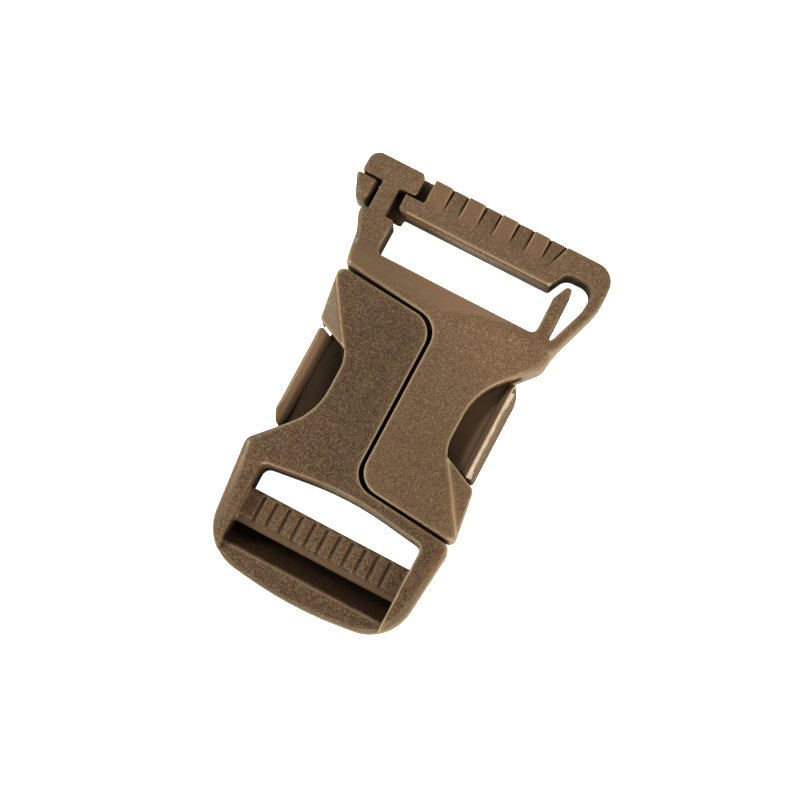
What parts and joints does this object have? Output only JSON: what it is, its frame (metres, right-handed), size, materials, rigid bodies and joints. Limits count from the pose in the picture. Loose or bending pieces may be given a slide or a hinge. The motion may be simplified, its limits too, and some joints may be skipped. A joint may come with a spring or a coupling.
{
  "type": "side release buckle",
  "caption": "Fastened side release buckle: two interlocking moulded halves with side pads, a ladder lock with a toothed bar at one end and a hooked split bar at the other.",
  "frame": {"origin": "under the middle of the bounding box, at the height of the flat back", "axes": "+Z is the front face, +Y along the length towards the split bar, +X across the width towards the spring loop"},
  "size_m": [0.0414, 0.0656, 0.0094],
  "materials": {
    "tan_plastic": "fine spark-eroded grain, smooth and semi-gloss on the prongs"
  },
  "bodies": {
    "root": {"ladder_lock_half": "tan_plastic", "split_bar_half": "tan_plastic"}
  },
  "joints": []
}
